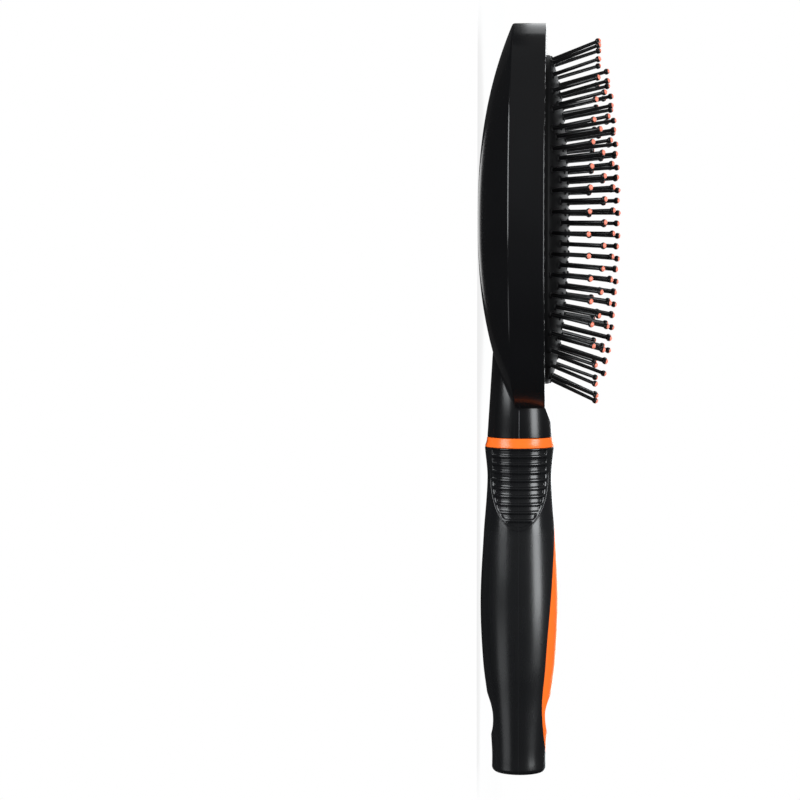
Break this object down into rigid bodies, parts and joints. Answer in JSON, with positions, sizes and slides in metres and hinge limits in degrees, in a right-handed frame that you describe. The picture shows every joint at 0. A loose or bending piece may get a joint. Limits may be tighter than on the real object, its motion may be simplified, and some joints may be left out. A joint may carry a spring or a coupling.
{
  "type": "oval styling brush",
  "caption": "Oval cushion hair brush: domed head with a crowned rubber pad of fanned ball-tipped pins, round neck, collar and a waisted grip with a leaf inlay and hang hole.",
  "frame": {"origin": "on the plane that the brush's domed back rests on, under the middle of its length and width", "axes": "+X along the handle towards the far end of the head, +Y across the brush, +Z out of the cushion along the pins"},
  "size_m": [0.239, 0.0746, 0.0453],
  "materials": {
    "head_gloss_black": "polished moulded plastic, near black",
    "cushion_rubber": "matte black rubber sheet",
    "pin_black": "moulded nylon, near black, satin gloss",
    "pin_tip_orange": "dipped salmon orange coat on the ball tips",
    "handle_orange": "glossy orange moulded plastic",
    "grip_black": "satin black overmould with a soft sheen"
  },
  "bodies": {
    "brush_body": {"head_shell": "head_gloss_black", "cushion_bead": "cushion_rubber", "neck_ring": "handle_orange", "handle_core": "handle_orange", "handle_grip": "grip_black"},
    "strip_01": {"cushion_strip_01": "cushion_rubber"},
    "strip_02": {"cushion_strip_02": "cushion_rubber"},
    "strip_03": {"cushion_strip_03": "cushion_rubber"},
    "strip_04": {"cushion_strip_04": "cushion_rubber"},
    "strip_05": {"cushion_strip_05": "cushion_rubber"},
    "strip_06": {"cushion_strip_06": "cushion_rubber"},
    "strip_07": {"cushion_strip_07": "cushion_rubber"},
    "strip_08": {"cushion_strip_08": "cushion_rubber"},
    "strip_09": {"cushion_strip_09": "cushion_rubber"},
    "strip_10": {"cushion_strip_10": "cushion_rubber"},
    "strip_11": {"cushion_strip_11": "cushion_rubber"},
    "strip_12": {"cushion_strip_12": "cushion_rubber"},
    "strip_13": {"cushion_strip_13": "cushion_rubber"},
    "strip_14": {"cushion_strip_14": "cushion_rubber"},
    "strip_15": {"cushion_strip_15": "cushion_rubber"}
  },
  "joints": [
    {"name": "cushion_press", "type": "slide", "parent": "brush_body", "child": "strip_08", "axis": [0, 0, -1], "range_m": [0, 0.0025], "stiffness_N_per_m": 3000},
    {"name": "press_01", "type": "slide", "parent": "brush_body", "child": "strip_01", "axis": [0, 0, -1], "range_m": [0, 0.00142]},
    {"name": "press_02", "type": "slide", "parent": "brush_body", "child": "strip_02", "axis": [0, 0, -1], "range_m": [0, 0.00181]},
    {"name": "press_03", "type": "slide", "parent": "brush_body", "child": "strip_03", "axis": [0, 0, -1], "range_m": [0, 0.00204]},
    {"name": "press_04", "type": "slide", "parent": "brush_body", "child": "strip_04", "axis": [0, 0, -1], "range_m": [0, 0.00222]},
    {"name": "press_05", "type": "slide", "parent": "brush_body", "child": "strip_05", "axis": [0, 0, -1], "range_m": [0, 0.00235]},
    {"name": "press_06", "type": "slide", "parent": "brush_body", "child": "strip_06", "axis": [0, 0, -1], "range_m": [0, 0.00245]},
    {"name": "press_07", "type": "slide", "parent": "brush_body", "child": "strip_07", "axis": [0, 0, -1], "range_m": [0, 0.0025]},
    {"name": "press_09", "type": "slide", "parent": "brush_body", "child": "strip_09", "axis": [0, 0, -1], "range_m": [0, 0.0025]},
    {"name": "press_10", "type": "slide", "parent": "brush_body", "child": "strip_10", "axis": [0, 0, -1], "range_m": [0, 0.00246]},
    {"name": "press_11", "type": "slide", "parent": "brush_body", "child": "strip_11", "axis": [0, 0, -1], "range_m": [0, 0.00238]},
    {"name": "press_12", "type": "slide", "parent": "brush_body", "child": "strip_12", "axis": [0, 0, -1], "range_m": [0, 0.00225]},
    {"name": "press_13", "type": "slide", "parent": "brush_body", "child": "strip_13", "axis": [0, 0, -1], "range_m": [0, 0.00208]},
    {"name": "press_14", "type": "slide", "parent": "brush_body", "child": "strip_14", "axis": [0, 0, -1], "range_m": [0, 0.00184]},
    {"name": "press_15", "type": "slide", "parent": "brush_body", "child": "strip_15", "axis": [0, 0, -1], "range_m": [0, 0.00144]}
  ],
  "couplings": [
    {"joint": "press_01", "follows": "cushion_press", "ratio": 0.556},
    {"joint": "press_02", "follows": "cushion_press", "ratio": 0.712},
    {"joint": "press_03", "follows": "cushion_press", "ratio": 0.804},
    {"joint": "press_04", "follows": "cushion_press", "ratio": 0.875},
    {"joint": "press_05", "follows": "cushion_press", "ratio": 0.927},
    {"joint": "press_06", "follows": "cushion_press", "ratio": 0.965},
    {"joint": "press_07", "follows": "cushion_press", "ratio": 0.988},
    {"joint": "press_09", "follows": "cushion_press", "ratio": 0.992},
    {"joint": "press_10", "follows": "cushion_press", "ratio": 0.972},
    {"joint": "press_11", "follows": "cushion_press", "ratio": 0.938},
    {"joint": "press_12", "follows": "cushion_press", "ratio": 0.887},
    {"joint": "press_13", "follows": "cushion_press", "ratio": 0.818},
    {"joint": "press_14", "follows": "cushion_press", "ratio": 0.724},
    {"joint": "press_15", "follows": "cushion_press", "ratio": 0.564}
  ]
}
